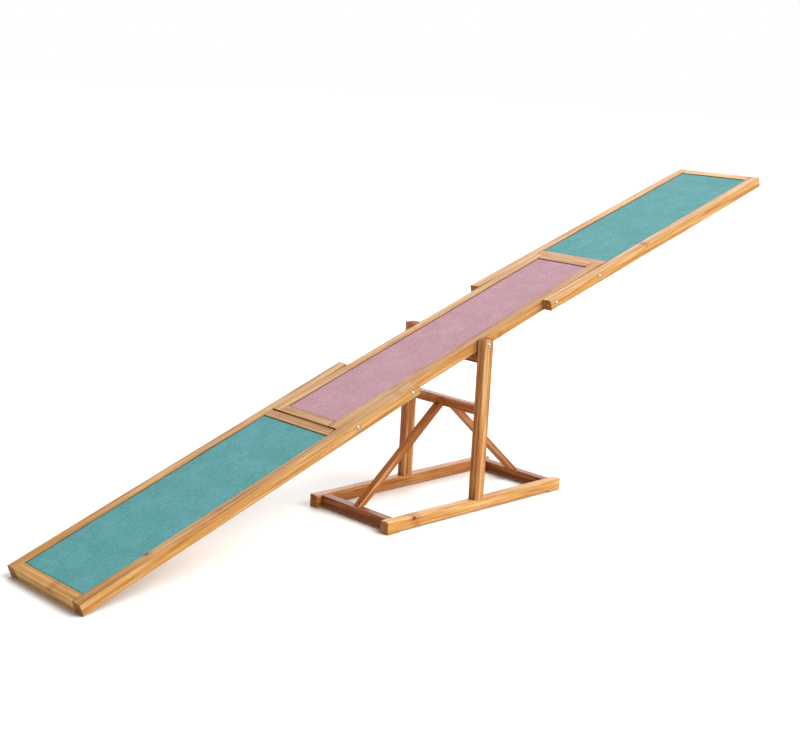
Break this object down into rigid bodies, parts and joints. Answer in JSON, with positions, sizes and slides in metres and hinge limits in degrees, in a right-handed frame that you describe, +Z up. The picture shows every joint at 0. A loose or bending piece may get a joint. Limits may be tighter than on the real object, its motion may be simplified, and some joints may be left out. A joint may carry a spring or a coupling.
{
  "type": "seesaw",
  "caption": "Long sectional timber plank with recessed grip surfaces, tipping on a bolted pivot between the braced posts of a low timber stand, for dog agility.",
  "frame": {"origin": "on the floor, midway between the posts, directly below the pivot", "axes": "+X toward the raised end of the plank, +Y from the front post to the back post along the pivot, +Z up"},
  "size_m": [2.4691, 0.3066, 0.8707],
  "materials": {
    "pine": "planed softwood under a golden oil stain, satin",
    "plywood": "bare sanded plywood, matt",
    "dowel": "fluted beech dowel, matt",
    "steel": "bright zinc plate",
    "teal_grip": "matt grip sheet with a fine mottled granule",
    "rose_grip": "matt grip sheet with a fine mottled granule"
  },
  "bodies": {
    "stand": {"base_rail_front": "pine", "base_rail_back": "pine", "base_crossbar_left": "pine", "base_crossbar_right": "pine", "foot_pads": "pine", "base_dowels": "dowel", "post_front": "pine", "post_back": "pine", "post_screws": "steel", "stretcher": "pine", "stretcher_dowels": "dowel", "brace_left": "pine", "brace_right": "pine", "brace_screws": "steel", "pivot_bolts": "steel", "pivot_spacers": "steel", "pivot_washers": "steel", "pivot_nuts": "steel"},
    "plank": {"middle_rail_front": "pine", "middle_rail_back": "pine", "middle_crossbar_left": "pine", "middle_crossbar_right": "pine", "middle_panel": "plywood", "middle_grip": "rose_grip", "middle_dowels": "dowel", "pivot_batten": "pine", "batten_screws": "steel", "left_rail_front": "pine", "left_rail_back": "pine", "left_end_crossbar": "pine", "left_inner_crossbar": "pine", "left_panel": "plywood", "left_grip": "teal_grip", "left_dowels": "dowel", "right_rail_front": "pine", "right_rail_back": "pine", "right_end_crossbar": "pine", "right_inner_crossbar": "pine", "right_panel": "plywood", "right_grip": "teal_grip", "right_dowels": "dowel", "lap_bolts": "steel", "lap_washers": "steel", "lap_nuts": "steel"}
  },
  "joints": [
    {"name": "plank_tilt", "type": "hinge", "parent": "stand", "child": "plank", "pos_m": [0, 0, 0.455], "axis": [0, 1, 0], "range_deg": [0, 37.96]}
  ]
}
